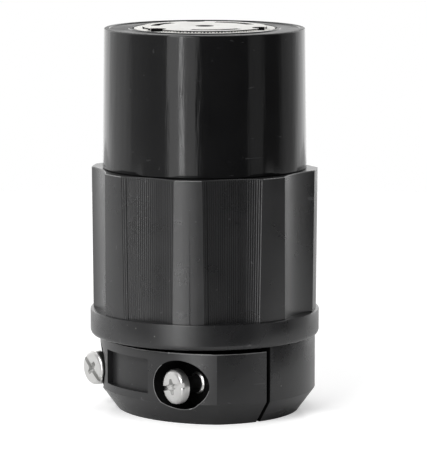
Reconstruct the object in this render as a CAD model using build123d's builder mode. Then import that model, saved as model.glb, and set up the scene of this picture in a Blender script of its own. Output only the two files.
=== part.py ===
from build123d import *
from math import asin, cos, degrees, pi, radians, sin, tan
import os

# Locking cord connector: the female, cord-mounted half, with three contacts.
# It stands on its cord end. Z is the axis, the cord leaves along -Z, and the clamp jaw faces -Y.
# All lengths are millimetres and all angles are degrees, counted from +X.

# Rear housing: clamp end, collar and grip, one above the other
clamp_height = 19.3
clamp_radius = 27.85
taper_height = 5.7
foot_radius = 23.6
collar_height = 6.4
collar_radius = 28.8
collar_edge = 0.8
grip_height = 35.5
grip_radius = 28.34
grip_draft = 0.47
floor_thickness = 3.5
chamber_radius = 24.0

# Grip flutes: hollows between eight lobes, half of them with fine ribs
flute_count = 8
flute_depth = 2.14
flute_width = 15.1
rib_count = 27
rib_depth = 0.2

# Cord clamp
cord_radius = 11.5
cord_flare = 1.2
fixed_face = 0.8
jaw_gap = 1.0
jaw_top_gap = 0.7
jaw_face = 25.2
jaw_face_radius = 32.0
jaw_edge = 0.35
counterbore_radius = 6.2
counterbore_floor = 14.2
pocket_width = 17.2
pocket_height = 8.6
pocket_centre = 11.8
pocket_depth = 1.6
pocket_corner = 1.0

# Clamp screws, retaining rings and captive nuts
clamp_screw_spacing = 33.0
clamp_screw_height = 10.3
clamp_screw_radius = 2.08
clamp_screw_length = 32.0
clamp_screw_backed_out = 6.1
clamp_hole_clearance = 0.25
clamp_bore_depth = 19.3
clamp_head_radius = 4.3
clamp_head_height = 2.3
clamp_head_edge = 0.7
drive_slot_width = 1.15
drive_slot_depth = 1.0
drive_cross_length = 4.2
drive_cross_depth = 1.6
drive_turns = {"left": -40.0, "right": 13.5}
ring_radius = 2.8
ring_thickness = 0.8
nut_width = 8.0
nut_thickness = 3.0
nut_face = 5.0
nut_clearance = 0.15
thread_clearance = 0.02

# Front shell
shell_height = 35.0
shell_radius = 25.6
shell_draft = 0.72
shell_foot_edge = 0.3
shell_rim_edge = 0.5
shell_end_wall = 5.2
shell_bore = 22.1
spigot_length = 3.9
spigot_clearance = 0.15
groove_outer_radius = 23.8
groove_inner_radius = 18.9
groove_depth = 0.7

# Contact face
face_radius = 18.0
face_seat_width = 0.65
face_seat_depth = 3.5
face_clearance = 0.12
face_edge_drop = 0.1
plateau_radius = 15.5
plateau_height = 0.5
face_neck_length = 4.0

# Contacts, at a shared circle, turned as a set against the housing
face_angle = 53.0
slot_circle = 12.4
slot_width = 2.2
slot_end_angle = 9.0
slots = {"hot": (50.0, 46.0, 50.0), "neutral": (154.0, 38.0, 148.0), "ground": (-76.0, 50.0, -80.0)}
strip = 0.9
leaf_margin = 3.0
leaf_end_gap = 2.7
web_thickness = 1.2
web_overhang = 0.1
leg_span = 26.0
leg_length = 14.0
channel_clearance = 0.5

# Terminals
base_height = 21.0
base_clearance = 0.6
base_top_plate = 3.0
base_bottom_plate = 4.0
bay_width = 11.0
bay_floor_radius = 11.2
wire_hole_radius = 2.6
wire_hole_circle = 16.4
plate_width = 8.0
plate_thickness = 1.6
terminal_screw_radius = 1.7
terminal_head_radius = 3.2
terminal_head_height = 2.2
terminal_head_edge = 0.6
wire_gap = 3.9
terminal_tip = 1.6

# Assembly screws, from the face down to the bosses on the housing's floor
assembly_circle = 15.2
assembly_turns = {"right": -21.0, "back": 99.0, "left": 219.0}
assembly_screw_radius = 1.45
assembly_hole_clearance = 0.15
assembly_head_radius = 2.15
assembly_head_height = 2.0
assembly_head_clearance = 0.25
assembly_head_depth = 3.3
assembly_slot_width = 0.8
assembly_slot_depth = 0.8
boss_radius = 3.4
boss_height = 13.2
boss_hole_floor = 2.0
assembly_tip_gap = 1.0
carrier_clearance = 0.2

# Heights and radii that follow from the sizes above
grip_foot = clamp_height + collar_height
housing_top = grip_foot + grip_height
chamber_floor = clamp_height + floor_thickness
grip_foot_radius = grip_radius - grip_height * tan(radians(grip_draft))
shell_top = housing_top + shell_height
shell_top_radius = shell_radius - shell_height * tan(radians(shell_draft))
spigot_foot = housing_top - spigot_length
face_seat = shell_top - face_seat_depth
face_top = shell_top - face_edge_drop + plateau_height
face_foot = face_seat - face_neck_length
neck_radius = face_radius - face_seat_width
base_foot = chamber_floor + boss_height
base_top = base_foot + base_height
jaw_face_centre = jaw_face_radius - jaw_face
jaw_parting = fixed_face + jaw_gap
head_face = counterbore_floor + clamp_screw_backed_out + clamp_head_height
clamp_hole_radius = clamp_screw_radius + clamp_hole_clearance
assembly_hole_radius = assembly_screw_radius + assembly_hole_clearance
assembly_seat = face_top - assembly_head_depth
assembly_start = face_angle + assembly_turns["right"]
leg_radius = slot_circle + slot_width / 2 + strip / 2
terminal_height = base_foot + base_bottom_plate + (base_height - base_top_plate - base_bottom_plate) / 2
sides = {"left": -1, "right": 1}


def ring_edges(part, height):
    """The circular edges of a turned shape that lie at one height."""
    circles = part.edges().filter_by(GeomType.CIRCLE)
    return circles.filter_by_position(Axis.Z, height - 0.01, height + 0.01)


def outward(side):
    """A plane on a clamp screw's axis, at the level of its head's face, looking out of the jaw."""
    origin = (side * clamp_screw_spacing / 2, -head_face, clamp_screw_height)
    return Plane(origin=origin, x_dir=(1, 0, 0), z_dir=(0, -1, 0))


def radial_plane(angle, distance, height):
    """A plane that looks outwards along a radius, with its own x direction level."""
    turn = radians(angle + face_angle)
    outwards = (cos(turn), sin(turn), 0)
    origin = (distance * cos(turn), distance * sin(turn), height)
    return Plane(origin=origin, x_dir=(-sin(turn), cos(turn), 0), z_dir=outwards)


def contact_arc(radius, centre, span):
    """An arc round the connector's axis, given by its middle and its span."""
    return CenterArc((0, 0), radius, centre + face_angle - span / 2, span)


def rib_points(distance, arc_radius, half_angle):
    """Zigzag points along a flute's hollow, then two corners outside the grip."""
    points = []
    for step in range(2 * rib_count + 1):
        angle = radians(180 - half_angle + half_angle * step / rib_count)
        radius = arc_radius + rib_depth * (step % 2)
        points.append((distance + radius * cos(angle), radius * sin(angle)))
    outside = grip_radius + flute_depth
    return points + [(outside, points[-1][1]), (outside, points[0][1])]


# Rear housing. The flutes are cut by cylinders that stand outside the grip, and the fixed half of the
# clamp is what is left below the collar behind the jaw.
chord_distance = (grip_radius ** 2 - (flute_width / 2) ** 2) ** 0.5
hollow = chord_distance - (grip_radius - flute_depth)
flute_radius = ((flute_width / 2) ** 2 + hollow ** 2) / (2 * hollow)
flute_centre = grip_radius - flute_depth + flute_radius
flute_half_angle = degrees(asin(flute_width / 2 / flute_radius))
flute_pitch = 360 / flute_count
ribbed_flutes = [flute_pitch * (turn + 0.5) for turn in range(flute_count) if turn % 4 > 1]
plain_flutes = [flute_pitch * (turn + 0.5) for turn in range(flute_count) if turn % 4 < 2]

with BuildPart() as rear_housing:
    with BuildSketch(Plane.XZ) as section:
        with BuildLine():
            Polyline(
                (0, 0),
                (foot_radius, 0),
                (clamp_radius, taper_height),
                (clamp_radius, clamp_height),
                (collar_radius, clamp_height),
                (collar_radius, grip_foot),
                (grip_foot_radius, grip_foot),
                (grip_radius, housing_top),
                (0, housing_top),
                close=True,
            )
        make_face()
    revolve(axis=Axis.Z)
    fillet(ring_edges(rear_housing, clamp_height).sort_by(SortBy.RADIUS)[-1], collar_edge)
    with BuildSketch(Plane.XY.offset(grip_foot)) as plain_cut:
        for angle in plain_flutes:
            with PolarLocations(flute_centre, 1, start_angle=angle):
                Circle(flute_radius)
    extrude(amount=grip_height, mode=Mode.SUBTRACT)
    with BuildSketch(Plane.XY.offset(grip_foot)) as ribbed_cut:
        for angle in ribbed_flutes:
            with PolarLocations(0, 1, start_angle=angle):
                Polygon(*rib_points(flute_centre, flute_radius, flute_half_angle), align=None)
    extrude(amount=grip_height, mode=Mode.SUBTRACT)
    with BuildSketch(Plane.XY.offset(chamber_floor)) as chamber:
        Circle(chamber_radius)
        with PolarLocations(assembly_circle, 3, start_angle=assembly_start):
            Circle(boss_radius, mode=Mode.SUBTRACT)
    extrude(amount=housing_top - chamber_floor, mode=Mode.SUBTRACT)
    with BuildSketch(Plane.XY.offset(base_foot)) as above_bosses:
        Circle(chamber_radius)
    extrude(amount=housing_top - base_foot, mode=Mode.SUBTRACT)
    with BuildSketch(Plane.XY.offset(chamber_floor + boss_hole_floor)) as boss_holes:
        with PolarLocations(assembly_circle, 3, start_angle=assembly_start):
            Circle(assembly_screw_radius + thread_clearance)
    extrude(amount=boss_height, mode=Mode.SUBTRACT)
    with BuildSketch() as jaw_room:
        with Locations((0, -fixed_face)):
            Rectangle(3 * clamp_radius, 3 * clamp_radius, align=(Align.CENTER, Align.MAX))
    extrude(amount=clamp_height, mode=Mode.SUBTRACT)
    with BuildSketch() as cord_way:
        Circle(cord_radius)
    extrude(amount=chamber_floor, mode=Mode.SUBTRACT)
    chamfer(ring_edges(rear_housing, 0).sort_by(SortBy.RADIUS)[0], cord_flare)
    for side in sides.values():
        screw_x = side * clamp_screw_spacing / 2
        with BuildSketch(outward(side).offset(fixed_face - head_face)) as screw_bore:
            Circle(clamp_hole_radius)
        extrude(amount=-clamp_bore_depth, mode=Mode.SUBTRACT)
        with BuildSketch() as nut_slot:
            with Locations((screw_x, nut_face - nut_clearance)):
                Rectangle(
                    nut_width + 2 * nut_clearance,
                    nut_thickness + 2 * nut_clearance,
                    align=(Align.CENTER, Align.MIN),
                )
        extrude(amount=clamp_screw_height + nut_width / 2 + nut_clearance, mode=Mode.SUBTRACT)

# Clamp jaw. Its outline is the housing's circle cut back by a flatter arc on the front, so the screws
# stand in a broad face. Below the taper line and at the top edge the whole outline draws in.
jaw_top = clamp_height - jaw_top_gap
jaw_outlines = [
    (0, clamp_radius - foot_radius),
    (taper_height, 0),
    (jaw_top - jaw_edge, 0),
    (jaw_top, jaw_edge),
]

with BuildPart() as clamp_jaw:
    for height, inset in jaw_outlines:
        with BuildSketch(Plane.XY.offset(height)) as jaw_outline:
            Circle(clamp_radius - inset)
            with Locations((0, jaw_face_centre)):
                Circle(jaw_face_radius - inset, mode=Mode.INTERSECT)
    loft(ruled=True)
    split(bisect_by=Plane.XZ.offset(jaw_parting), keep=Keep.TOP)
    with BuildSketch() as jaw_bore:
        Circle(cord_radius)
    extrude(amount=clamp_height, mode=Mode.SUBTRACT)
    chamfer(ring_edges(clamp_jaw, 0).sort_by(SortBy.RADIUS)[0], cord_flare)
    with BuildSketch(Plane.XY.offset(pocket_centre - pocket_height / 2)) as pocket:
        with Locations((0, -jaw_face)):
            Rectangle(pocket_width, jaw_face)
        with Locations((0, jaw_face_centre)):
            Circle(jaw_face_radius - pocket_depth, mode=Mode.SUBTRACT)
    extrude(amount=pocket_height, mode=Mode.SUBTRACT)
    pocket_corners = clamp_jaw.edges().filter_by(Axis.Y).group_by(Axis.Y)[0]
    fillet(pocket_corners, pocket_corner)
    with Locations(*[outward(side).offset(jaw_face - head_face) for side in sides.values()]):
        CounterBoreHole(clamp_hole_radius, counterbore_radius, jaw_face - counterbore_floor)

# Front shell, one turned section: spigot, draft wall, rim with its shallow groove, and the face's seat
with BuildPart() as front_shell:
    with BuildSketch(Plane.XZ) as section:
        with BuildLine():
            Polyline(
                (shell_bore, spigot_foot),
                (chamber_radius - spigot_clearance, spigot_foot),
                (chamber_radius - spigot_clearance, housing_top),
                (shell_radius - shell_foot_edge, housing_top),
                (shell_radius, housing_top + shell_foot_edge),
                (shell_top_radius, shell_top),
                (groove_outer_radius, shell_top),
                (groove_outer_radius, shell_top - groove_depth),
                (groove_inner_radius, shell_top - groove_depth),
                (groove_inner_radius, shell_top),
                (face_radius + face_clearance, shell_top),
                (face_radius + face_clearance, face_seat),
                (neck_radius + face_clearance, face_seat),
                (neck_radius + face_clearance, shell_top - shell_end_wall),
                (shell_bore, shell_top - shell_end_wall),
                close=True,
            )
        make_face()
    revolve(axis=Axis.Z)
    fillet(ring_edges(front_shell, shell_top).sort_by(SortBy.RADIUS)[-1], shell_rim_edge)

# Contact face: a white disc on the shell's seat, with a raised middle, three slots and three screw wells
with BuildPart() as face_insert:
    with BuildSketch(Plane.XZ) as section:
        with BuildLine():
            Polyline(
                (0, face_foot),
                (neck_radius, face_foot),
                (neck_radius, face_seat),
                (face_radius, face_seat),
                (face_radius, shell_top - face_edge_drop),
                (plateau_radius, shell_top - face_edge_drop),
                (plateau_radius, face_top),
                (0, face_top),
                close=True,
            )
        make_face()
    revolve(axis=Axis.Z)
    with BuildSketch(Plane.XY.offset(face_foot)) as blade_slots:
        for centre, span, _ in slots.values():
            with BuildLine():
                inner = contact_arc(slot_circle - slot_width / 2, centre, span + slot_end_angle)
                outer = contact_arc(slot_circle + slot_width / 2, centre, span + slot_end_angle)
                Line(inner @ 0, outer @ 0)
                Line(inner @ 1, outer @ 1)
            make_face()
    extrude(amount=face_top - face_foot, mode=Mode.SUBTRACT)
    with BuildSketch(Plane.XY.offset(face_foot)) as screw_holes:
        with PolarLocations(assembly_circle, 3, start_angle=assembly_start):
            Circle(assembly_hole_radius)
    extrude(amount=face_top - face_foot, mode=Mode.SUBTRACT)
    with BuildSketch(Plane.XY.offset(assembly_seat)) as screw_wells:
        with PolarLocations(assembly_circle, 3, start_angle=assembly_start):
            Circle(assembly_head_radius + assembly_head_clearance)
    extrude(amount=assembly_head_depth, mode=Mode.SUBTRACT)

# Contact carrier: it stands on the terminal base and surrounds the three contacts
with BuildPart() as contact_carrier:
    with BuildSketch(Plane.XY.offset(base_top)) as carrier_plan:
        Circle(shell_bore - carrier_clearance)
        for centre, span, _ in slots.values():
            SlotArc(
                contact_arc(slot_circle, centre, span),
                slot_width + 2 * strip + 2 * channel_clearance,
                mode=Mode.SUBTRACT,
            )
        with PolarLocations(assembly_circle, 3, start_angle=assembly_start):
            Circle(assembly_hole_radius, mode=Mode.SUBTRACT)
    extrude(amount=face_foot - base_top)

# Terminal base: three bays open to the side for the terminals, each with a wire hole below
with BuildPart() as terminal_base:
    with BuildSketch(Plane.XY.offset(base_foot)) as base_plan:
        Circle(chamber_radius - base_clearance)
        with PolarLocations(assembly_circle, 3, start_angle=assembly_start):
            Circle(assembly_hole_radius, mode=Mode.SUBTRACT)
        for _, _, terminal in slots.values():
            with PolarLocations(wire_hole_circle, 1, start_angle=terminal + face_angle):
                Circle(wire_hole_radius, mode=Mode.SUBTRACT)
    extrude(amount=base_height)
    with BuildSketch(Plane.XY.offset(base_foot + base_bottom_plate)) as bays:
        for _, _, terminal in slots.values():
            with PolarLocations(bay_floor_radius, 1, start_angle=terminal + face_angle):
                Rectangle(chamber_radius, bay_width, align=(Align.MIN, Align.CENTER))
    extrude(amount=base_height - base_top_plate - base_bottom_plate, mode=Mode.SUBTRACT)
    with BuildSketch(Plane.XY.offset(base_top)) as leg_slots:
        for _, _, terminal in slots.values():
            SlotArc(contact_arc(leg_radius, terminal, leg_span), strip + channel_clearance)
    extrude(amount=-base_top_plate, mode=Mode.SUBTRACT)


def make_contact(centre, span, terminal):
    """A sleeve contact: two curved leaves on a web, and a leg that hangs down to its terminal."""
    with BuildPart() as contact:
        with BuildSketch(Plane.XY.offset(base_top)) as web:
            SlotArc(
                contact_arc(slot_circle, centre, span - leaf_margin),
                slot_width + 2 * (strip + web_overhang),
            )
        extrude(amount=web_thickness)
        with BuildSketch(Plane.XY.offset(base_top)) as leaves:
            for offset in (-1, 1):
                leaf_radius = slot_circle + offset * (slot_width + strip) / 2
                SlotArc(contact_arc(leaf_radius, centre, span - leaf_margin), strip)
        extrude(amount=face_foot - leaf_end_gap - base_top)
        with BuildSketch(Plane.XY.offset(base_top)) as leg:
            SlotArc(contact_arc(leg_radius, terminal, leg_span - leaf_margin), strip)
        extrude(amount=web_thickness)
        extrude(leg.sketch, amount=-leg_length)
        with BuildSketch(radial_plane(terminal, leg_radius - strip, terminal_height)) as tapped_hole:
            Circle(terminal_screw_radius + thread_clearance)
        extrude(amount=2 * strip, mode=Mode.SUBTRACT)
    return contact


def make_clamp_plate(terminal):
    """The square pressure plate under a terminal screw's head."""
    plate_seat = leg_radius + strip / 2 + wire_gap
    with BuildPart() as plate:
        with BuildSketch(radial_plane(terminal, plate_seat, terminal_height)) as outline:
            Rectangle(plate_width, plate_width)
            Circle(terminal_screw_radius + thread_clearance, mode=Mode.SUBTRACT)
        extrude(amount=plate_thickness)
    return plate


def make_terminal_screw(terminal):
    """A terminal screw: its head bears on the plate and its tip stands inside the leg."""
    head_seat = leg_radius + strip / 2 + wire_gap + plate_thickness
    with BuildPart() as screw:
        with BuildSketch(radial_plane(terminal, head_seat, terminal_height)) as head:
            Circle(terminal_head_radius)
        extrude(amount=terminal_head_height)
        head_rim = screw.edges().filter_by(GeomType.CIRCLE).sort_by_distance((0, 0, terminal_height))[-1]
        fillet(head_rim, terminal_head_edge)
        with BuildSketch(radial_plane(terminal, head_seat, terminal_height)) as shank:
            Circle(terminal_screw_radius)
        extrude(amount=-(head_seat - leg_radius + terminal_tip))
        slot_floor = head_seat + terminal_head_height - drive_slot_depth
        with BuildSketch(radial_plane(terminal, slot_floor, terminal_height)) as slot:
            Rectangle(2.2 * terminal_head_radius, drive_slot_width)
        extrude(amount=terminal_head_height, mode=Mode.SUBTRACT)
    return screw


def make_clamp_screw(side, turn):
    """A pan-head clamp screw with a slot and a cross, backed out of its counterbore."""
    face = outward(side)
    with BuildPart() as screw:
        with BuildSketch(face) as head:
            Circle(clamp_head_radius)
        extrude(amount=-clamp_head_height)
        fillet(screw.faces().sort_by(Axis.Y)[0].edges(), clamp_head_edge)
        with BuildSketch(face) as shank:
            Circle(clamp_screw_radius)
        extrude(amount=-(clamp_head_height + clamp_screw_length))
        with BuildSketch(face) as slot:
            Rectangle(2.2 * clamp_head_radius, drive_slot_width, rotation=turn)
        extrude(amount=-drive_slot_depth, mode=Mode.SUBTRACT)
        with BuildSketch(face) as cross:
            Rectangle(drive_cross_length, drive_slot_width, rotation=turn)
            Rectangle(drive_slot_width, drive_cross_length, rotation=turn)
        extrude(amount=-drive_cross_depth, mode=Mode.SUBTRACT)
    return screw


def make_clamp_washer(side):
    """The retaining ring that keeps a backed-out clamp screw in the jaw."""
    seat = outward(side).offset(counterbore_floor - head_face)
    with BuildPart() as ring:
        with BuildSketch(seat) as outline:
            Circle(ring_radius)
            Circle(clamp_screw_radius + thread_clearance, mode=Mode.SUBTRACT)
        extrude(amount=ring_thickness)
    return ring


def make_clamp_nut(side):
    """The square nut that is held in a slot of the fixed clamp half."""
    with BuildPart() as nut:
        with BuildSketch(outward(side).offset(-nut_face - head_face)) as outline:
            Rectangle(nut_width, nut_width)
            Circle(clamp_screw_radius + thread_clearance, mode=Mode.SUBTRACT)
        extrude(amount=-nut_thickness)
    return nut


def make_assembly_screw(angle):
    """A long screw from a well in the face down to a boss on the housing's floor."""
    turn = radians(face_angle + angle)
    axis_point = (assembly_circle * cos(turn), assembly_circle * sin(turn))
    with BuildPart() as screw:
        with BuildSketch(Plane.XY.offset(assembly_seat)) as head:
            with Locations(axis_point):
                Circle(assembly_head_radius)
        extrude(amount=assembly_head_height)
        with BuildSketch(Plane.XY.offset(chamber_floor + boss_hole_floor + assembly_tip_gap)) as shank:
            with Locations(axis_point):
                Circle(assembly_screw_radius)
        extrude(until=Until.NEXT)
        with BuildSketch(Plane.XY.offset(assembly_seat + assembly_head_height)) as slot:
            with Locations(axis_point):
                Rectangle(2.2 * assembly_head_radius, assembly_slot_width)
        extrude(amount=-assembly_slot_depth, mode=Mode.SUBTRACT)
    return screw


pieces = {
    "rear_housing": rear_housing,
    "clamp_jaw": clamp_jaw,
    "front_shell": front_shell,
    "face_insert": face_insert,
    "contact_carrier": contact_carrier,
    "terminal_base": terminal_base,
}
for pole, (centre, span, terminal) in slots.items():
    pieces[f"{pole}_contact"] = make_contact(centre, span, terminal)
    pieces[f"{pole}_clamp_plate"] = make_clamp_plate(terminal)
    pieces[f"{pole}_terminal_screw"] = make_terminal_screw(terminal)
for name, side in sides.items():
    pieces[f"clamp_screw_{name}"] = make_clamp_screw(side, drive_turns[name])
    pieces[f"clamp_washer_{name}"] = make_clamp_washer(side)
    pieces[f"clamp_nut_{name}"] = make_clamp_nut(side)
for name, angle in assembly_turns.items():
    pieces[f"assembly_screw_{name}"] = make_assembly_screw(angle)

os.makedirs("parts", exist_ok=True)
for name, piece in pieces.items():
    piece.part.label = name
    export_step(piece.part, f"parts/{name}.step")
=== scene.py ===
import math

import bpy
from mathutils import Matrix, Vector


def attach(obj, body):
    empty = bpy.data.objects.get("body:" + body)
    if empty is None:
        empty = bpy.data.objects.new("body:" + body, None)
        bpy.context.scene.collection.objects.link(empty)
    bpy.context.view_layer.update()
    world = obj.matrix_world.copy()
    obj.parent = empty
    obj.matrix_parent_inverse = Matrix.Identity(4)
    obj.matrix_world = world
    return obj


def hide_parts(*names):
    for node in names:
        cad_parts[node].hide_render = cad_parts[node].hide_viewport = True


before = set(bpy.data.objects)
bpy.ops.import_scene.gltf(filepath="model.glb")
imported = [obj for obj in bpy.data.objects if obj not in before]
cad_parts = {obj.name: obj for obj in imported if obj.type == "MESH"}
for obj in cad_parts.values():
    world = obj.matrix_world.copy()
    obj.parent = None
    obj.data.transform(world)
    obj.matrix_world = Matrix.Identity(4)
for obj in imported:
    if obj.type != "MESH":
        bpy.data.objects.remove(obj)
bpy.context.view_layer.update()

# Rear housing: one black moulding with the fluted grip on top, a plain collar below it and the fixed
# half of the cord clamp at its foot. Four of the eight flutes have fine upright ribs, with painted shade
# in the grooves between them. The mould left a parting line down two opposite lobes. A thin raised light
# grey line along the top of each lobe is a painted highlight.
MM = 0.001
CLAMP_RADIUS = 27.85
CLAMP_TOP = 19.3
TAPER_TOP = 5.7
TAPER_INSET = 4.2
CORD_RADIUS = 11.5
CORD_FLARE = 1.2
COLLAR_RADIUS = 28.8
COLLAR_TOP = 25.7
CHAMBER_RADIUS = 24.0
CHAMBER_FLOOR = 22.8
GRIP_TOP = 61.2
GRIP_RADII = (28.05, 28.34)
FLUTE_RADIUS = 26.1
FLUTE_CENTRE = 52.3
FLUTES = 8
FLUTE_PITCH = 360 / FLUTES
RIBBED_FLUTES = (2, 3, 6, 7)
RIBS = 27
RIB_STEPS = 6
RIB_DEPTH = 0.05
LOBE_HALF = 6.6
PARTING_ANGLES = (-44.3, 135.7)
FIXED_PARTING = -0.8
SCREW_X = 16.5
SCREW_Z = 10.3
SCREW_HOLE = 2.33
NUT_SLOT_HALF = 4.15
NUT_SLOT_SPAN = (4.85, 8.15)
ASSEMBLY_ANGLES = (32, 152, 272)
ASSEMBLY_CIRCLE = 15.2
BOSS_RADIUS = 3.4
BOSS_TOP = 36


def deselect():
    bpy.ops.object.select_all(action="DESELECT")


def select_only(body):
    deselect()
    body.select_set(True)
    bpy.context.view_layer.objects.active = body


def open_mesh(body, test=None):
    """Edit mode on one body, with the vertices selected that pass the test (all of them without one)."""
    select_only(body)
    bpy.context.tool_settings.mesh_select_mode = (True, False, False)
    bpy.ops.object.mode_set(mode="EDIT")
    bpy.ops.mesh.select_all(action="DESELECT")
    bpy.ops.object.mode_set(mode="OBJECT")
    for vertex in body.data.vertices:
        vertex.select = test is None or test(vertex.index, vertex.co / MM)
    bpy.ops.object.mode_set(mode="EDIT")
    bpy.ops.mesh.select_mode(type="VERT")


def close_mesh():
    bpy.ops.object.mode_set(mode="OBJECT")


def clean(body):
    """Merges a body's seams, drops loose edges and turns its faces outwards."""
    open_mesh(body)
    bpy.ops.mesh.remove_doubles(threshold=0.002 * MM)
    bpy.ops.mesh.delete_loose(use_verts=True, use_edges=True, use_faces=False)
    bpy.ops.mesh.select_all(action="SELECT")
    bpy.ops.mesh.normals_make_consistent(inside=False)
    close_mesh()


def ring_of(points):
    """A closed loop of edges through points given in millimetres."""
    deselect()
    bpy.ops.mesh.primitive_circle_add(vertices=len(points), radius=MM)
    ring = bpy.context.object
    for vertex, point in zip(ring.data.vertices, points):
        vertex.co = Vector(point) * MM
    return ring


def join(bodies, name):
    """Makes several meshes one object."""
    deselect()
    for body in bodies:
        body.select_set(True)
    bpy.context.view_layer.objects.active = bodies[0]
    if len(bodies) > 1:
        bpy.ops.object.join()
    bodies[0].name = name
    return bodies[0]


def walled(name, outlines, ends="capped"):
    """A body with one wall between each outline and the next; its ends are capped or joined up."""
    count = len(outlines[0])
    body = ring_of(outlines[0])
    for outline in outlines[1:]:
        body = join([body, ring_of(outline)], name)
        total = len(body.data.vertices)
        open_mesh(body, lambda index, place: index >= total - 2 * count)
        bpy.ops.mesh.bridge_edge_loops()
        close_mesh()
    if ends == "joined":
        open_mesh(body, lambda index, place: index < count or index >= total - count)
        bpy.ops.mesh.bridge_edge_loops()
        close_mesh()
    else:
        for low in (0, total - count):
            open_mesh(body, lambda index, place: low <= index < low + count)
            bpy.ops.mesh.edge_face_add()
            close_mesh()
    clean(body)
    return body


def turned(name, profile, steps=144):
    """A turned body: a closed profile of (radius, height) corners spun about the connector's axis."""
    body = ring_of([(radius, 0, height) for radius, height in profile])
    open_mesh(body)
    bpy.ops.mesh.spin(steps=steps, angle=2 * math.pi, center=(0, 0, 0), axis=(0, 0, 1))
    close_mesh()
    clean(body)
    body.name = name
    return body


def apply_modifier(body, kind, **settings):
    select_only(body)
    modifier = body.modifiers.new(kind.lower(), kind)
    for key, value in settings.items():
        setattr(modifier, key, value)
    bpy.ops.object.modifier_apply(modifier=modifier.name)


def carve(body, cutter):
    """Cuts one body out of another, and removes the cutter."""
    apply_modifier(body, "BOOLEAN", object=cutter, operation="DIFFERENCE", solver="EXACT")
    bpy.data.objects.remove(cutter)


def soften(body, width):
    """Rounds the edges that turn by more than 35 degrees."""
    apply_modifier(
        body, "BEVEL", width=width * MM, segments=2, limit_method="ANGLE",
        angle_limit=math.radians(35), miter_outer="MITER_ARC",
    )


def shade(body, angle=28):
    """Smooth shading that keeps the edges sharp that turn by more than an angle."""
    select_only(body)
    bpy.ops.object.shade_smooth_by_angle(angle=math.radians(angle), keep_sharp_edges=True)


def cylinder(radius, low, high, x=0, y=0, vertices=64, along="Z"):
    """A cylinder from low to high along Z, or along Y, where the argument y is then its height."""
    deselect()
    middle, length = (low + high) / 2, high - low
    place = (x, y, middle) if along == "Z" else (x, middle, y)
    turn = (0, 0, 0) if along == "Z" else (math.pi / 2, 0, 0)
    bpy.ops.mesh.primitive_cylinder_add(
        vertices=vertices, radius=radius * MM, depth=length * MM,
        location=Vector(place) * MM, rotation=turn,
    )
    bpy.ops.object.transform_apply(location=True, rotation=True, scale=True)
    return bpy.context.object


def block(low, high, turn=0):
    """A rectangular block between two corners, turned about the Z axis."""
    deselect()
    low, high = Vector(low), Vector(high)
    bpy.ops.mesh.primitive_cube_add(size=MM, location=(low + high) / 2 * MM)
    made = bpy.context.object
    made.scale = high - low
    bpy.ops.object.transform_apply(location=True, rotation=True, scale=True)
    if turn:
        made.rotation_euler = (0, 0, math.radians(turn))
        bpy.ops.object.transform_apply(location=True, rotation=True, scale=True)
    return made


def turn_point(x, y, angle):
    """A point turned about the origin by an angle in degrees."""
    c, s = math.cos(math.radians(angle)), math.sin(math.radians(angle))
    return x * c - y * s, x * s + y * c


def flute_edge(radius):
    """Where a flute ends on the grip: half its angle about its own centre, and its edge's about the axis."""
    meet_x = (radius ** 2 - FLUTE_RADIUS ** 2 + FLUTE_CENTRE ** 2) / (2 * FLUTE_CENTRE)
    meet_y = math.sqrt(radius ** 2 - meet_x ** 2)
    return math.asin(meet_y / FLUTE_RADIUS), math.degrees(math.atan2(meet_y, meet_x))


def grip_outline(radius, height, inset=0.0):
    """The grip's outline: flutes hollowed out of a circle, ribbed or plain, with lobes between them."""
    half, edge = flute_edge(radius)
    points = []
    for flute in range(FLUTES):
        middle = FLUTE_PITCH * (flute + 0.5)
        ribbed = flute in RIBBED_FLUTES
        steps = RIB_STEPS * RIBS if ribbed else 20
        for step in range(steps + 1):
            angle = math.pi + half - 2 * half * step / steps
            wave = RIB_DEPTH * (1 - math.cos(2 * math.pi * step / RIB_STEPS)) / 2 if ribbed else 0
            reach = FLUTE_RADIUS + wave + inset
            x, y = turn_point(FLUTE_CENTRE + reach * math.cos(angle), reach * math.sin(angle), middle)
            points.append((x, y, height))
        for step in range(1, 7):
            angle = middle + edge + (FLUTE_PITCH - 2 * edge) * step / 7
            x, y = turn_point(radius - inset, 0, angle)
            points.append((x, y, height))
    return points


def half_outline(side, height, inset, bore, parting, front=None):
    """Half of the clamp's plan, out round its wall and back along the bore; front flattens the wall."""
    reach = CLAMP_RADIUS - inset
    start = math.degrees(math.asin(parting / reach))
    inner = math.degrees(math.asin(parting / bore))
    points = []
    for step in range(97):
        angle = start + (180 - 2 * start) * step / 96
        x, y = turn_point(reach, 0, angle)
        if front:
            radius, centre = front[0] - inset, front[1]
            dip = math.radians(angle)
            flat = -centre * math.sin(dip) + math.sqrt(radius ** 2 - (centre * math.cos(dip)) ** 2)
            x, y = turn_point(min(reach, flat), 0, angle)
        points.append((x, side * y, height))
    for step in range(49):
        angle = 180 - inner - (180 - 2 * inner) * step / 48
        x, y = turn_point(bore, 0, angle)
        points.append((x, side * y, height))
    return points


def clamp_half(name, side, top, parting, front=None, top_edge=0.0):
    """One half of the cord clamp: tapered foot, upright wall, half of the flared cord bore."""
    flare_inset = TAPER_INSET * (1 - CORD_FLARE / TAPER_TOP)
    levels = [
        (0, TAPER_INSET, CORD_RADIUS + CORD_FLARE),
        (CORD_FLARE, flare_inset, CORD_RADIUS),
        (TAPER_TOP, 0, CORD_RADIUS),
        (top - top_edge, 0, CORD_RADIUS),
    ]
    for turn in (22, 45, 68, 90) if top_edge else ():
        rise, draw_in = math.sin(math.radians(turn)), 1 - math.cos(math.radians(turn))
        levels.append((top - top_edge + top_edge * rise, top_edge * draw_in, CORD_RADIUS))
    outlines = [half_outline(side, z, inset, bore, parting, front) for z, inset, bore in levels]
    return walled(name, outlines)


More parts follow.
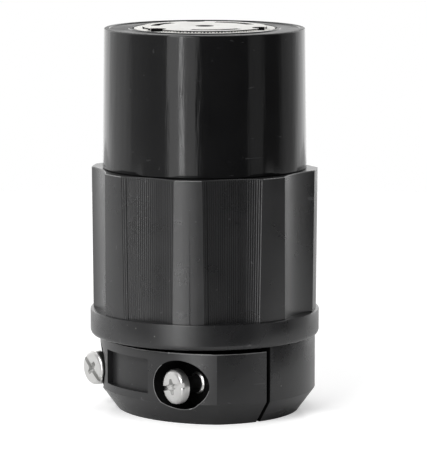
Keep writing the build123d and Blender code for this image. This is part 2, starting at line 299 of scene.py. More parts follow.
fixed_half = clamp_half("fixed_half", 1, CLAMP_TOP + 0.01, FIXED_PARTING)
for side in (-1, 1):
    carve(fixed_half, cylinder(SCREW_HOLE, -1.5, 18.5, x=side * SCREW_X, y=SCREW_Z, vertices=32, along="Y"))
    carve(fixed_half, block(
        (side * SCREW_X - NUT_SLOT_HALF, NUT_SLOT_SPAN[0], -1),
        (side * SCREW_X + NUT_SLOT_HALF, NUT_SLOT_SPAN[1], SCREW_Z + NUT_SLOT_HALF),
    ))
soften(fixed_half, 0.12)

collar_bottom = [
    (COLLAR_RADIUS - 0.95 * (1 - math.sin(t)), CLAMP_TOP + 1.3 * (1 - math.cos(t)))
    for t in [math.radians(15 * step) for step in range(7)]
]
collar = turned("collar", [
    (CORD_RADIUS, CLAMP_TOP), *collar_bottom,
    (COLLAR_RADIUS, COLLAR_TOP - 0.22), (COLLAR_RADIUS - 0.07, COLLAR_TOP - 0.07),
    (COLLAR_RADIUS - 0.25, COLLAR_TOP), (CHAMBER_RADIUS, COLLAR_TOP),
    (CHAMBER_RADIUS, CHAMBER_FLOOR), (CORD_RADIUS, CHAMBER_FLOOR),
])

grip_inner = [
    (CHAMBER_RADIUS * x / math.hypot(x, y), CHAMBER_RADIUS * y / math.hypot(x, y))
    for x, y, _ in grip_outline(GRIP_RADII[1], 0)
]
grip = walled("grip", [
    grip_outline(GRIP_RADII[0], COLLAR_TOP - 0.01),
    grip_outline(GRIP_RADII[1], GRIP_TOP - 0.2),
    grip_outline(GRIP_RADII[1], GRIP_TOP, inset=0.2),
    [(x, y, GRIP_TOP) for x, y in grip_inner],
    [(x, y, COLLAR_TOP - 0.01) for x, y in grip_inner],
], ends="joined")

parting_lines = []
for angle in PARTING_ANGLES:
    ridge = walled("parting_line", [
        [(*turn_point(radius + across, along, angle), height)
         for across, along in ((-0.3, -0.12), (0.0, -0.12), (0.05, 0.0), (0.0, 0.12), (-0.3, 0.12))]
        for radius, height in ((GRIP_RADII[0], COLLAR_TOP), (GRIP_RADII[1] - 0.06, GRIP_TOP - 0.1))
    ])
    parting_lines.append(ridge)

bosses = [
    cylinder(BOSS_RADIUS, CHAMBER_FLOOR - 0.1, BOSS_TOP, *turn_point(ASSEMBLY_CIRCLE, 0, angle), vertices=40)
    for angle in ASSEMBLY_ANGLES
]
housing = join([grip, collar, fixed_half, *parting_lines, *bosses], "housing_moulding")
shade(housing)


def new_material(name):
    """A node material with a Principled shader; returns the material, its node tree and the shader."""
    made = bpy.data.materials.new(name)
    made.use_nodes = True
    tree = made.node_tree
    shader = tree.nodes["Principled BSDF"]
    return made, tree, shader


def add(tree, kind, **values):
    """A node with its inputs and properties set."""
    node = tree.nodes.new(kind)
    for key, value in values.items():
        if key in node.inputs:
            node.inputs[key].default_value = value
        else:
            setattr(node, key, value)
    return node


def ramp(tree, source, stops):
    """A colour ramp on a value; stops are (position, grey or colour)."""
    node = tree.nodes.new("ShaderNodeValToRGB")
    while len(node.color_ramp.elements) > 1:
        node.color_ramp.elements.remove(node.color_ramp.elements[-1])
    for number, (position, colour) in enumerate(stops):
        colour = (colour,) * 3 if isinstance(colour, (int, float)) else colour
        element = node.color_ramp.elements[0] if number == 0 else node.color_ramp.elements.new(position)
        element.position = position
        element.color = (*colour, 1)
    tree.links.new(source, node.inputs["Fac"])
    return node.outputs["Color"]


def map_range(tree, source, low, high, to_low=0.0, to_high=1.0):
    """A value brought from one range to another, and held inside it."""
    node = add(tree, "ShaderNodeMapRange")
    for socket, value in (("From Min", low), ("From Max", high), ("To Min", to_low), ("To Max", to_high)):
        node.inputs[socket].default_value = value
    tree.links.new(source, node.inputs["Value"])
    return node.outputs["Result"]


def multiply(tree, source, factor):
    """A value times another value or a plain number."""
    node = add(tree, "ShaderNodeMath", operation="MULTIPLY")
    tree.links.new(source, node.inputs[0])
    if isinstance(factor, float):
        node.inputs[1].default_value = factor
    else:
        tree.links.new(factor, node.inputs[1])
    return node.outputs["Value"]


# What handling leaves on any moulded or plated surface, as masks and heights on Object coordinates
finish_marks = bpy.data.node_groups.new("handled surface", "ShaderNodeTree")
finish_marks.interface.new_socket("Grain Scale", in_out="INPUT", socket_type="NodeSocketFloat")
for label in ("Grain", "Mottle", "Scratches", "Dust"):
    finish_marks.interface.new_socket(label, in_out="OUTPUT", socket_type="NodeSocketFloat")
marks_in = finish_marks.nodes.new("NodeGroupInput")
marks_out = finish_marks.nodes.new("NodeGroupOutput")
marks_place = add(finish_marks, "ShaderNodeTexCoord").outputs["Object"]
marks_link = finish_marks.links.new
grain = add(finish_marks, "ShaderNodeTexNoise", Detail=3.0, Roughness=0.6)
marks_link(marks_place, grain.inputs["Vector"])
marks_link(marks_in.outputs["Grain Scale"], grain.inputs["Scale"])
marks_link(grain.outputs["Fac"], marks_out.inputs["Grain"])
mottle = add(finish_marks, "ShaderNodeTexNoise", Scale=95.0, Detail=4.0, Roughness=0.55, Distortion=0.4)
marks_link(marks_place, mottle.inputs["Vector"])
marks_link(mottle.outputs["Fac"], marks_out.inputs["Mottle"])
stretch = add(finish_marks, "ShaderNodeMapping")
stretch.inputs["Rotation"].default_value = (0.5, 0.35, 0.9)
stretch.inputs["Scale"].default_value = (1.0, 0.05, 1.0)
marks_link(marks_place, stretch.inputs["Vector"])
scratch = add(finish_marks, "ShaderNodeTexNoise", Scale=900.0, Detail=1.0, Distortion=0.6)
marks_link(stretch.outputs["Vector"], scratch.inputs["Vector"])
marks_link(map_range(finish_marks, scratch.outputs["Fac"], 0.735, 0.78), marks_out.inputs["Scratches"])
specks = add(finish_marks, "ShaderNodeTexVoronoi", Scale=420.0, feature="F1")
marks_link(marks_place, specks.inputs["Vector"])
speck_few = add(finish_marks, "ShaderNodeTexNoise", Scale=160.0, Detail=1.0)
marks_link(marks_place, speck_few.inputs["Vector"])
speck_mask = multiply(
    finish_marks, map_range(finish_marks, specks.outputs["Distance"], 0.10, 0.04),
    map_range(finish_marks, speck_few.outputs["Fac"], 0.62, 0.68),
)
marks_link(speck_mask, marks_out.inputs["Dust"])


def finish(
    name, dark, light, rough, spread, grain_scale, bump,
    metallic=0.0, specular=0.5, dust=0.5, scratch_tone=None,
):
    """A material from two tones, a roughness with its spread, and a grain of one scale and height."""
    made, tree, shader = new_material(name)
    link = tree.links.new
    marks = tree.nodes.new("ShaderNodeGroup")
    marks.node_tree = finish_marks
    marks.inputs["Grain Scale"].default_value = grain_scale
    base = ramp(tree, marks.outputs["Mottle"], [(0.3, dark), (0.7, light)])
    worn = add(tree, "ShaderNodeMix", data_type="RGBA")
    link(marks.outputs["Scratches"], worn.inputs[0])
    link(base, worn.inputs[6])
    worn.inputs[7].default_value = (*(scratch_tone or [min(1, v * 2.4 + 0.01) for v in light]), 1)
    dusty = add(tree, "ShaderNodeMix", data_type="RGBA")
    link(multiply(tree, marks.outputs["Dust"], dust), dusty.inputs[0])
    link(worn.outputs[2], dusty.inputs[6])
    dusty.inputs[7].default_value = (0.35, 0.34, 0.32, 1)
    link(dusty.outputs[2], shader.inputs["Base Color"])
    roughness = ramp(tree, marks.outputs["Mottle"], [(0.25, rough - spread), (0.75, rough + spread)])
    link(roughness, shader.inputs["Roughness"])
    height = add(tree, "ShaderNodeBump", Strength=1.0, Distance=bump * MM)
    link(marks.outputs["Grain"], height.inputs["Height"])
    link(height.outputs["Normal"], shader.inputs["Normal"])
    shader.inputs["Metallic"].default_value = metallic
    shader.inputs["Specular IOR Level"].default_value = specular
    return made


def finish_part(body, material, chosen):
    """Gives the faces that pass a test on their middle and their normal a finish of their own."""
    body.data.materials.append(material)
    for face in body.data.polygons:
        if chosen(face.center / MM, face.normal):
            face.material_index = len(body.data.materials) - 1


def dress(body, material, node=None):
    """Gives a mesh its finish, and a new piece also its body and the node it stands for."""
    body.data.materials.clear()
    body.data.materials.append(material)
    if node:
        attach(body, "root")
        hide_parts(node)


satin_black = finish(
    "satin black moulding", (0.018, 0.018, 0.019), (0.026, 0.026, 0.027),
    rough=0.29, spread=0.04, grain_scale=2600.0, bump=0.012, specular=0.75,
)
# Near-black without specular: painted shade for seams between parts, rib grooves, counterbores, slots and
# wells
painted_shade_black = finish(
    "black moulding as painted shade", (0.006, 0.006, 0.006), (0.01, 0.01, 0.01),
    rough=0.6, spread=0.05, grain_scale=2600.0, bump=0.01, dust=0.2, specular=0.0,
)
dress(housing, satin_black, "rear_housing")
# Painted shade on the fixed half's parting face, in the seam behind the jaw
finish_part(housing, painted_shade_black, lambda place, normal: place.z < CLAMP_TOP - 0.1 and place.y < -0.7)


def in_rib_groove(place):
    """Whether a point of the grip's wall lies in the bottom of a groove between two ribs."""
    flute = math.floor(math.degrees(math.atan2(place.y, place.x)) % 360 / FLUTE_PITCH)
    x, y = turn_point(place.x, place.y, -FLUTE_PITCH * (flute + 0.5))
    half, _ = flute_edge(GRIP_RADII[1])
    along = (1 - math.atan2(-y, FLUTE_CENTRE - x) / half) / 2
    strip = math.floor(along * RIB_STEPS * RIBS) % RIB_STEPS
    return flute in RIBBED_FLUTES and 0 < along < 1 and strip == RIB_STEPS // 2


# Painted shade in the bottoms of the grooves between the ribs
finish_part(housing, painted_shade_black, lambda place, normal: (
    COLLAR_TOP < place.z < GRIP_TOP and abs(normal.z) < 0.3
    and math.hypot(place.x, place.y) > CHAMBER_RADIUS + 0.1 and in_rib_groove(place)
))

# Light grey on black: a painted highlight along edges, on the raised lines and the jaw's rounded top edge
painted_highlight_grey = finish(
    "grey moulding as painted edge highlight", (0.16, 0.16, 0.16), (0.42, 0.42, 0.42),
    rough=0.3, spread=0.05, grain_scale=2600.0, bump=0.01,
)


def painted_highlight_bead(path, radius):
    """A thin raised line along an edge, as a mesh, in the light grey of a painted highlight."""
    curve = bpy.data.curves.new("highlight_bead", "CURVE")
    curve.dimensions = "3D"
    curve.bevel_depth = radius * MM
    curve.bevel_resolution = 2
    curve.use_fill_caps = True
    spline = curve.splines.new("POLY")
    spline.points.add(len(path) - 1)
    for point, place in zip(spline.points, path):
        point.co = (*(Vector(place) * MM), 1)
    line = bpy.data.objects.new("highlight_bead", curve)
    bpy.context.scene.collection.objects.link(line)
    select_only(line)
    bpy.ops.object.convert(target="MESH")
    line = bpy.context.object
    dress(line, painted_highlight_grey)
    return line


# Light grey lines along the top edge of each lobe, painted highlights
grip_highlight_lines = []
for lobe in range(FLUTES):
    path = []
    for step in range(13):
        x, y = turn_point(GRIP_RADII[1] - 0.08, 0, FLUTE_PITCH * lobe + LOBE_HALF * (step / 6 - 1))
        path.append((x, y, GRIP_TOP - 0.12))
    grip_highlight_lines.append(painted_highlight_bead(path, 0.11))
join([housing, *grip_highlight_lines], housing.name)

# Clamp jaw: the loose half of the cord clamp, moulded in the same black plastic. Its front is cut back
# to a flatter arc with a sharp upright crease at each end, and holds two deep counterbores and a pocket.
# Thin raised light grey lines run round the counterbores and along the top edge as painted highlights,
# and the counterbores, the parting face and the top are painted near-black as shade.
JAW_TOP = 18.3
JAW_PARTING = 1.8
JAW_ARC = 31.6
JAW_ARC_CENTRE = 6.4
HOLE_RADIUS = 6.2
HOLE_FLOOR = -14.2
POCKET_HALF = 8.6
POCKET_BOTTOM = 7.5
POCKET_TOP = 16.1
POCKET_DEPTH = 1.6

jaw = clamp_half(
    "clamp_jaw_moulding", -1, JAW_TOP, JAW_PARTING, front=(JAW_ARC, JAW_ARC_CENTRE), top_edge=0.3,
)
for side in (-1, 1):
    carve(jaw, cylinder(HOLE_RADIUS, -40, HOLE_FLOOR, x=side * SCREW_X, y=SCREW_Z, vertices=96, along="Y"))
    carve(jaw, cylinder(SCREW_HOLE, -16, 0, x=side * SCREW_X, y=SCREW_Z, vertices=32, along="Y"))
pocket_arc = JAW_ARC - POCKET_DEPTH
pocket_angle = math.degrees(math.asin(POCKET_HALF / pocket_arc))
pocket_back = [
    (pocket_arc * math.sin(math.radians(a)), JAW_ARC_CENTRE - pocket_arc * math.cos(math.radians(a)))
    for a in [pocket_angle * (step / 12 - 1) for step in range(25)]
]
pocket_plan = [*pocket_back, (POCKET_HALF, -40), (-POCKET_HALF, -40)]
carve(jaw, walled("pocket", [[(x, y, z) for x, y in pocket_plan] for z in (POCKET_BOTTOM, POCKET_TOP)]))
soften(jaw, 0.14)
shade(jaw, 8)
dress(jaw, satin_black, "clamp_jaw")


def from_screw(place):
    """How far a place lies from the nearer clamp screw's axis."""
    return math.hypot(abs(place.x) - SCREW_X, place.z - SCREW_Z)


# Painted shade on the jaw's parting face and on its top under the collar
finish_part(jaw, painted_shade_black, lambda place, normal: place.y > -2 or place.z > JAW_TOP - 0.02)
# Painted shade inside the counterbores, on their walls and floors
finish_part(jaw, painted_shade_black, lambda place, normal: (
    from_screw(place) < HOLE_RADIUS + 0.02 and (abs(normal.y) < 0.3 or place.y > HOLE_FLOOR - 0.1)
))


def jaw_front(x, z):
    """How far out the jaw's front lies at one place; the taper draws it in below."""
    inset = TAPER_INSET * max(0.0, 1 - z / TAPER_TOP)
    round_wall = -math.sqrt((CLAMP_RADIUS - inset) ** 2 - x ** 2)
    return max(round_wall, JAW_ARC_CENTRE - math.sqrt((JAW_ARC - inset) ** 2 - x ** 2))


# Light grey lines round the lower part of each counterbore's rim and along the top edge, painted highlights
jaw_highlight_lines = []
for side in (-1, 1):
    rim_path = []
    for step in range(61):
        across, up = turn_point(HOLE_RADIUS, 0, 130 + 220 * step / 60)
        x, z = side * SCREW_X + across, SCREW_Z + up
        rim_path.append((x, jaw_front(x, z), z))
    jaw_highlight_lines.append(painted_highlight_bead(rim_path, 0.08))
    top_path = [
        (side * x / 10, jaw_front(x / 10, JAW_TOP) + 0.12, JAW_TOP - 0.08) for x in range(140, 235, 5)
    ]
    jaw_highlight_lines.append(painted_highlight_bead(top_path, 0.13))

pocket_black = finish(
    "black moulding in the pocket", (0.026, 0.026, 0.027), (0.036, 0.036, 0.037),
    rough=0.42, spread=0.05, grain_scale=2200.0, bump=0.02, specular=0.45,
)
finish_part(jaw, pocket_black, lambda place, normal: (
    abs(place.x) < POCKET_HALF and POCKET_BOTTOM < place.z < POCKET_TOP and normal.y < -0.8
    and math.hypot(place.x, place.y - JAW_ARC_CENTRE) < pocket_arc + 0.05
))
# Painted highlight on the jaw's rounded top edge
finish_part(jaw, painted_highlight_grey, lambda place, normal: (
    JAW_TOP - 0.4 < place.z < JAW_TOP - 0.02 and normal.z > 0.3
))
jaw = join([jaw, *jaw_highlight_lines], "clamp_jaw_moulding")

# Clamp screws: bright plated pan heads, each with a slot and a cross, backed out of the counterbores.
# They hang in their holes by the clearance, and the left one is backed out further. The shanks are plain,
# and a retaining ring sits round each one at the foot of its counterbore. The shanks and the walls of
# the head recesses are darker steel, painted shade.
HEAD_FACES = {"left": -23.4, "right": -22.6}
SLOT_TURNS = {"left": 40, "right": -13.5}
HEAD_HEIGHT = 2.75
HEAD_RADIUS = 4.3
HEAD_EDGE = 1.0
SLOT_HALF = 0.6
SLOT_DEPTH = 0.9
SHANK_RADIUS = 2.08
SCREW_END = 12.0
SCREW_DROP = 0.22
RING_FACE = -15.0

bright_steel = finish(
    "bright plated steel", (0.74, 0.735, 0.72), (0.86, 0.855, 0.84),
    rough=0.3, spread=0.06, grain_scale=1500.0, bump=0.02, metallic=1.0, dust=0.0,
    scratch_tone=(0.5, 0.49, 0.47),
)
# Dark steel for the shanks, painted shade down in the counterbores
shaded_steel = finish(
    "steel shank in painted shade", (0.05, 0.05, 0.05), (0.11, 0.11, 0.11),
    rough=0.4, spread=0.05, grain_scale=1500.0, bump=0.03, metallic=1.0, dust=0.0,
)
# Duller, darker steel: painted shade on the walls of the slot and cross in the heads
steel_painted_recess_shade = finish(
    "plated steel with painted recess shade", (0.34, 0.34, 0.33), (0.46, 0.46, 0.45),
    rough=0.45, spread=0.05, grain_scale=1500.0, bump=0.02, metallic=0.4, dust=0.0,
)


def place_along_screw(body, side, start, drop=0.0):
    """Lays a turned body on a clamp screw's axis, from its outer end inwards."""
    body.rotation_euler = (-math.pi / 2, 0, 0)
    body.location = Vector((side * SCREW_X, start, SCREW_Z - drop)) * MM
    select_only(body)
    bpy.ops.object.transform_apply(location=True, rotation=True, scale=True)


def cross_outline(turn, depth, scale):
    """The cross recess at one depth: four arms that narrow towards their tips."""
    points = []
    for arm in range(4):
        for x, y in ((2.0, -0.42), (2.0, 0.42), (0.8, 0.8)):
            points.append((*turn_point(x * scale, y * scale, turn + 90 * arm), depth))
    return points


head_edge = [
    (HEAD_RADIUS - HEAD_EDGE * (1 - math.sin(t)), 0.1 + HEAD_EDGE * (1 - math.cos(t)))
    for t in [math.radians(10 * step) for step in range(10)]
]
for side, name in ((-1, "left"), (1, "right")):
    head_face, turn = HEAD_FACES[name], SLOT_TURNS[name]
    length = SCREW_END - head_face
    screw = turned("clamp_screw_body_" + name, [
        (0, 0), (1.8, 0.03), *head_edge, (HEAD_RADIUS, HEAD_HEIGHT - 0.3), (HEAD_RADIUS - 0.3, HEAD_HEIGHT),
        (SHANK_RADIUS, HEAD_HEIGHT), (SHANK_RADIUS, length - 0.4), (SHANK_RADIUS - 0.4, length), (0, length),
    ], steps=64)
    carve(screw, block((-5, -SLOT_HALF, -1), (5, SLOT_HALF, SLOT_DEPTH), turn=turn))
    carve(screw, walled("cross", [cross_outline(turn, -0.3, 1.15), cross_outline(turn, 1.3, 0.4)]))
    soften(screw, 0.08)
    shade(screw)
    place_along_screw(screw, side, head_face, SCREW_DROP)
    dress(screw, bright_steel, "clamp_screw_" + name)
    # Painted shade: the shank, and below it the walls of the slot and cross, are darker than the head
    finish_part(screw, shaded_steel, lambda place, normal: place.y > head_face + HEAD_HEIGHT - 0.05)
    finish_part(screw, steel_painted_recess_shade, lambda place, normal: (
        place.y < head_face + 1.6 and from_screw(place) < HEAD_RADIUS - 0.4 and abs(normal.y) < 0.7
    ))
    ring = turned("retaining_ring_" + name, [
        (2.12, 0.62), (2.12, 0.16), (2.2, 0.03), (2.3, 0.0), (2.4, 0.05), (2.78, 0.38), (2.8, 0.62),
    ], steps=48)
    shade(ring, 30)
    place_along_screw(ring, side, RING_FACE)
    dress(ring, bright_steel, "clamp_washer_" + name)
    dress(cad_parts["clamp_nut_" + name], bright_steel)

# Front shell: a smooth glossy black moulding that plugs into the grip and ends in a rim with a shallow
# ring-shaped groove round the contact face.
SHELL_TOP = 96.2
SHELL_RADII = (25.6, 25.16)
SPIGOT_FOOT = 57.3
RIM_ROUND = 0.5
GROOVE_DEPTH = 0.25
FACE_HOLE = 18.12

rim = [
    (SHELL_RADII[1] - RIM_ROUND * (1 - math.cos(t)), SHELL_TOP - RIM_ROUND * (1 - math.sin(t)))
    for t in [math.radians(15 * step) for step in range(7)]
]
shell = turned("shell_moulding", [
    (22.1, SPIGOT_FOOT), (23.85, SPIGOT_FOOT), (23.85, GRIP_TOP), (SHELL_RADII[0] - 0.3, GRIP_TOP),
    (SHELL_RADII[0], GRIP_TOP + 0.3), *rim, (23.8, SHELL_TOP), (23.7, SHELL_TOP - GROOVE_DEPTH),
    (19.0, SHELL_TOP - GROOVE_DEPTH), (18.9, SHELL_TOP), (FACE_HOLE, SHELL_TOP), (FACE_HOLE, 92.7),
    (17.47, 92.7), (17.47, 91.0), (22.1, 91.0),
], steps=180)
soften(shell, 0.08)
shade(shell)

gloss_black = finish(
    "gloss black moulding", (0.006, 0.006, 0.0065), (0.009, 0.009, 0.0095),
    rough=0.13, spread=0.03, grain_scale=1300.0, bump=0.002,
)
# Faint upright streaks under the grain blur what the gloss mirrors
tree = gloss_black.node_tree
streak_place = add(tree, "ShaderNodeTexCoord")
streak_stretch = add(tree, "ShaderNodeMapping")
streak_stretch.inputs["Scale"].default_value = (1.0, 1.0, 0.09)
streaks = add(tree, "ShaderNodeTexNoise", Scale=520.0, Detail=3.0, Roughness=0.55)
streak_height = add(tree, "ShaderNodeBump", Strength=1.0, Distance=0.05 * MM)
tree.links.new(streak_place.outputs["Object"], streak_stretch.inputs["Vector"])
tree.links.new(streak_stretch.outputs["Vector"], streaks.inputs["Vector"])
tree.links.new(streaks.outputs["Fac"], streak_height.inputs["Height"])
grain_bump = next(node for node in tree.nodes if node.type == "BUMP" and node != streak_height)
tree.links.new(streak_height.outputs["Normal"], grain_bump.inputs["Normal"])
dress(shell, gloss_black, "front_shell")
grained_black = finish(
    "grained black shell end", (0.008, 0.008, 0.008), (0.014, 0.014, 0.014),
    rough=0.42, spread=0.14, grain_scale=700.0, bump=0.14, specular=0.25,
)
finish_part(shell, grained_black, lambda place, normal: (
    place.z > SHELL_TOP - 0.5 and FACE_HOLE - 0.02 < math.hypot(place.x, place.y) < 25.1 and normal.z > 0.7
))

# Contact face: a white moulding with a raised middle, three curved blade slots, a dimple and the wells
# of the three assembly screws. Plain ticks stand round part of the raised middle.
FACE_TOP = 96.6
FACE_RING = 96.1
MIDDLE_RADIUS = 15.5
BLADE_CIRCLE = 12.4
BLADE_SLOTS = ((103, 55), (207, 47), (-23, 59))
BLADE_WIDTH = 2.2
WELL_RADIUS = 2.4
WELL_FLOOR = 93.3
TICKS = 44
TICKS_FROM, TICKS_SPAN = -105, 136


def arc_slot(radius, centre, span, width, low, high):
    """A curved slot's cutter, with square ends."""
    plan = []
    for reach, sweep in ((radius + width / 2, 1), (radius - width / 2, -1)):
        for step in range(17):
            plan.append(turn_point(reach, 0, centre + sweep * span * (step / 16 - 0.5)))
    return walled("slot", [[(x, y, z) for x, y in plan] for z in (low, high)])


face = turned("contact_face", [
    (0, 88.7), (17.35, 88.7), (17.35, 92.7), (18.0, 92.7), (18.0, 95.5), (17.6, 95.5), (17.6, FACE_RING),
    (MIDDLE_RADIUS, FACE_RING), (MIDDLE_RADIUS, FACE_TOP - 0.06), (MIDDLE_RADIUS - 0.06, FACE_TOP),
    (0, FACE_TOP),
])
for centre, span in BLADE_SLOTS:
    carve(face, arc_slot(BLADE_CIRCLE, centre, span, BLADE_WIDTH, 88, 98))
for angle in ASSEMBLY_ANGLES:
    x, y = turn_point(ASSEMBLY_CIRCLE, 0, angle)
    carve(face, cylinder(1.6, 88, 98, x=x, y=y, vertices=32))
    carve(face, cylinder(WELL_RADIUS, WELL_FLOOR, 98, x=x, y=y, vertices=40))
carve(face, cylinder(2.3, FACE_TOP - 0.4, 98, vertices=40))
ticks = []
for number in range(TICKS):
    angle = TICKS_FROM + TICKS_SPAN * number / (TICKS - 1)
    if all(abs((angle - screw + 180) % 360 - 180) > 11 for screw in ASSEMBLY_ANGLES):
        wide = 0.34 if number % 4 == 0 else 0.17
        ticks.append(block((15.3, -wide, FACE_RING - 0.05), (15.95, wide, FACE_TOP - 0.27), turn=angle))
soften(face, 0.06)
face = join([face, *ticks], "contact_face")
shade(face)

white_plastic = finish(
    "white moulding", (0.74, 0.73, 0.7), (0.84, 0.83, 0.8),
    rough=0.45, spread=0.05, grain_scale=1800.0, bump=0.006, dust=0.0, specular=0.15,
    scratch_tone=(0.55, 0.54, 0.51),
)
dress(face, white_plastic, "face_insert")
# Painted shade on the walls of the slots, wells and centre dimple, and on everything deep inside them
finish_part(face, painted_shade_black, lambda place, normal: (
    place.z < FACE_TOP - 0.1 and 2 < math.hypot(place.x, place.y) < 15.3
    and (abs(normal.z) < 0.5 or place.z < FACE_TOP - 1)
))
# Painted shade on the low wall round the raised middle
finish_part(face, painted_shade_black, lambda place, normal: (
    15.3 < math.hypot(place.x, place.y) < MIDDLE_RADIUS + 0.05
    and FACE_RING < place.z < FACE_TOP - 0.04 and abs(normal.z) < 0.5
))

# Inner pieces: pressed brass contacts with their screws and plates, held by two cream insulators, and the
# three assembly screws whose heads lie in the wells of the face.
cream_plastic = finish(
    "cream insulator", (0.6, 0.58, 0.52), (0.7, 0.68, 0.62),
    rough=0.5, spread=0.06, grain_scale=1200.0, bump=0.01, dust=0.0,
    scratch_tone=(0.5, 0.48, 0.42),
)
brass = finish(
    "pressed brass", (0.62, 0.43, 0.17), (0.76, 0.56, 0.26),
    rough=0.3, spread=0.08, grain_scale=1500.0, bump=0.008, metallic=1.0, dust=0.0,
    scratch_tone=(0.85, 0.68, 0.4),
)
for name in ("contact_carrier", "terminal_base"):
    dress(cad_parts[name], cream_plastic)
for pole in ("hot", "neutral", "ground"):
    dress(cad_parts[pole + "_contact"], brass)
    dress(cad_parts[pole + "_clamp_plate"], bright_steel)
    dress(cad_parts[pole + "_terminal_screw"], brass if pole == "hot" else bright_steel)
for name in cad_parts:
    if name.startswith("assembly_screw"):
        dress(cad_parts[name], bright_steel)

# Floor: a white sweep with a faint sheen, as bright as the paper behind the object but for its shadows.
# It glows more strongly for the camera in front of the connector, a painted pool of light that lifts
# its shadow there.
# It is cut short in front of the connector, so its upright walls mirror the dark side of the room.
CAMERA_TURN = math.radians(53)
FLOOR_WIDTH = 0.5
FLOOR_FRONT = 0.075
FLOOR_BACK = 0.42
FLOOR_LENGTH = FLOOR_FRONT + FLOOR_BACK
deselect()
bpy.ops.mesh.primitive_plane_add(size=1)
floor = bpy.context.object
floor.name = "floor"
floor.scale = (FLOOR_WIDTH, FLOOR_LENGTH, 1)
floor.rotation_euler = (0, 0, CAMERA_TURN)
middle = (FLOOR_BACK - FLOOR_FRONT) / 2
floor.location = (-middle * math.sin(CAMERA_TURN), middle * math.cos(CAMERA_TURN), 0)
sweep, tree, shader = new_material("white sweep")
shader.inputs["Base Color"].default_value = (0.86, 0.86, 0.86, 1)
shader.inputs["Roughness"].default_value = 0.9
shader.inputs["Specular IOR Level"].default_value = 0.0
path = add(tree, "ShaderNodeLightPath")
glow = add(tree, "ShaderNodeEmission")
glow.inputs["Color"].default_value = (1, 1, 1, 1)
floor_place = add(tree, "ShaderNodeTexCoord")
away = add(tree, "ShaderNodeSeparateXYZ")
tree.links.new(floor_place.outputs["Object"], away.inputs["Vector"])
# Painted light: the camera sees a stronger glow in front of the connector than beside and behind it
glow_with_painted_front_light = map_range(
    tree, away.outputs["Y"], (-0.003 - middle) / FLOOR_LENGTH, (-0.020 - middle) / FLOOR_LENGTH, 0.4, 0.7,
)
tree.links.new(multiply(tree, path.outputs["Is Camera Ray"], glow_with_painted_front_light), glow.inputs["Strength"])
lit = add(tree, "ShaderNodeAddShader")
tree.links.new(shader.outputs[0], lit.inputs[0])
tree.links.new(glow.outputs[0], lit.inputs[1])
sheen = add(tree, "ShaderNodeBsdfGlossy", Roughness=0.12)
sheen_mix = add(tree, "ShaderNodeMixShader")
sheen_mix.inputs[0].default_value = 0.08
tree.links.new(lit.outputs[0], sheen_mix.inputs[1])
tree.links.new(sheen.outputs[0], sheen_mix.inputs[2])
tree.links.new(sheen_mix.outputs[0], tree.nodes["Material Output"].inputs["Surface"])
floor.data.materials.append(sweep)

# World: a room that is white behind the object, grey on its left, and dark in front and on its right.
# The tone follows the direction's turn round the Z axis, counted from the camera's side. The camera
# itself sees plain white. Soft boxes on the left and overhead add the highlights.
world = bpy.data.worlds.new("studio")
bpy.context.scene.world = world
world.use_nodes = True
tree = world.node_tree
background = tree.nodes["Background"]
direction = add(tree, "ShaderNodeTexCoord")
across = add(tree, "ShaderNodeVectorMath", operation="DOT_PRODUCT")
across.inputs[1].default_value = (math.cos(CAMERA_TURN), math.sin(CAMERA_TURN), 0)
ahead = add(tree, "ShaderNodeVectorMath", operation="DOT_PRODUCT")
ahead.inputs[1].default_value = (math.sin(CAMERA_TURN), -math.cos(CAMERA_TURN), 0)
tree.links.new(direction.outputs["Generated"], across.inputs[0])
tree.links.new(direction.outputs["Generated"], ahead.inputs[0])
turn = add(tree, "ShaderNodeMath", operation="ARCTAN2")
tree.links.new(across.outputs["Value"], turn.inputs[0])
tree.links.new(ahead.outputs["Value"], turn.inputs[1])
shift = map_range(tree, turn.outputs["Value"], -math.pi, math.pi)
ROOM_WHITE = 1.6
room = [
    (-180, 1.5), (-142, 1.4), (-130, 1.0), (-120, 0.9), (-98, 0.85), (-90, 0.45), (-60, 0.3), (-42, 0.35),
    (-38, 0.06), (48, 0.05), (92, 0.07), (102, 0.35), (122, 0.45), (130, 1.0), (142, 1.4), (180, 1.5),
]
tone = ramp(tree, shift, [((angle + 180) / 360, value / ROOM_WHITE) for angle, value in room])
tree.links.new(tone, background.inputs["Color"])
background.inputs["Strength"].default_value = ROOM_WHITE
white = add(tree, "ShaderNodeBackground")
white.inputs["Color"].default_value = (1, 1, 1, 1)
path = add(tree, "ShaderNodeLightPath")
seen = add(tree, "ShaderNodeMixShader")
tree.links.new(path.outputs["Is Camera Ray"], seen.inputs[0])
tree.links.new(background.outputs[0], seen.inputs[1])
tree.links.new(white.outputs[0], seen.inputs[2])
tree.links.new(seen.outputs[0], tree.nodes["World Output"].inputs["Surface"])


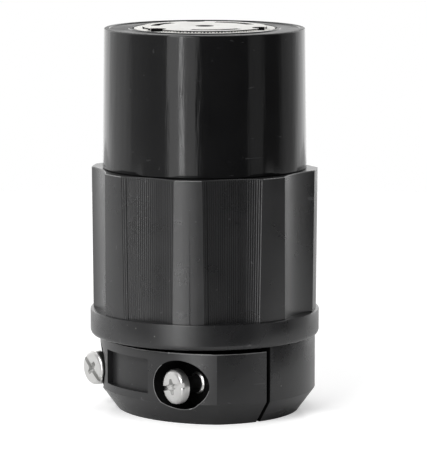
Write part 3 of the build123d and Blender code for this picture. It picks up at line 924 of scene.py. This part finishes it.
def towards_from(turn, rise):
    """The direction to a place, by its turn about the Z axis from -Y and its rise, in radians."""
    return Vector((math.sin(turn) * math.cos(rise), -math.cos(turn) * math.cos(rise), math.sin(rise)))


def lamp(name, turn, rise, distance, width, height, radiance):
    """A soft box; its turn is counted from the camera's side, positive to the camera's right."""
    light = bpy.data.lights.new(name, "AREA")
    light.shape = "RECTANGLE"
    light.size = width
    light.size_y = height
    light.energy = radiance * math.pi * width * height
    box = bpy.data.objects.new(name, light)
    bpy.context.scene.collection.objects.link(box)
    towards = towards_from(CAMERA_TURN + math.radians(turn), math.radians(rise))
    box.location = Vector((0, 0, 0.05)) + towards * distance
    box.rotation_euler = (-towards).to_track_quat("-Z", "Y").to_euler()


lamp("key", turn=-31.5, rise=0, distance=1.2, width=0.42, height=1.5, radiance=1.6)
lamp("key_fade", turn=-14.5, rise=0, distance=1.25, width=0.31, height=1.5, radiance=1.05)
lamp("key_core", turn=-25.5, rise=0, distance=1.1, width=0.035, height=1.5, radiance=7.0)
lamp("right", turn=60, rise=0, distance=1.3, width=0.42, height=1.5, radiance=0.25)
lamp("key_high", turn=-30, rise=38, distance=1.25, width=0.5, height=0.25, radiance=12.0)
lamp("top", turn=-10, rise=86, distance=1.2, width=1.0, height=1.0, radiance=0.6)

# Camera: far back, at the photograph's height and turn, with the connector a little left of the middle.
CAMERA_RISE = math.radians(8.12)
CAMERA_DISTANCE = 0.827
LOOK_RIGHT = 0.00222
LOOK_HEIGHT = 0.04505
camera_data = bpy.data.cameras.new("camera")
camera_data.lens = 256.7
camera_data.sensor_width = 36
camera_data.clip_end = 20
camera = bpy.data.objects.new("camera", camera_data)
bpy.context.scene.collection.objects.link(camera)
towards = towards_from(CAMERA_TURN, CAMERA_RISE)
look_at = Vector((LOOK_RIGHT * math.cos(CAMERA_TURN), LOOK_RIGHT * math.sin(CAMERA_TURN), LOOK_HEIGHT))
camera.location = look_at + towards * CAMERA_DISTANCE
camera.rotation_euler = (-towards).to_track_quat("-Z", "Y").to_euler()
bpy.context.scene.camera = camera
bpy.context.scene.view_settings.view_transform = "Standard"
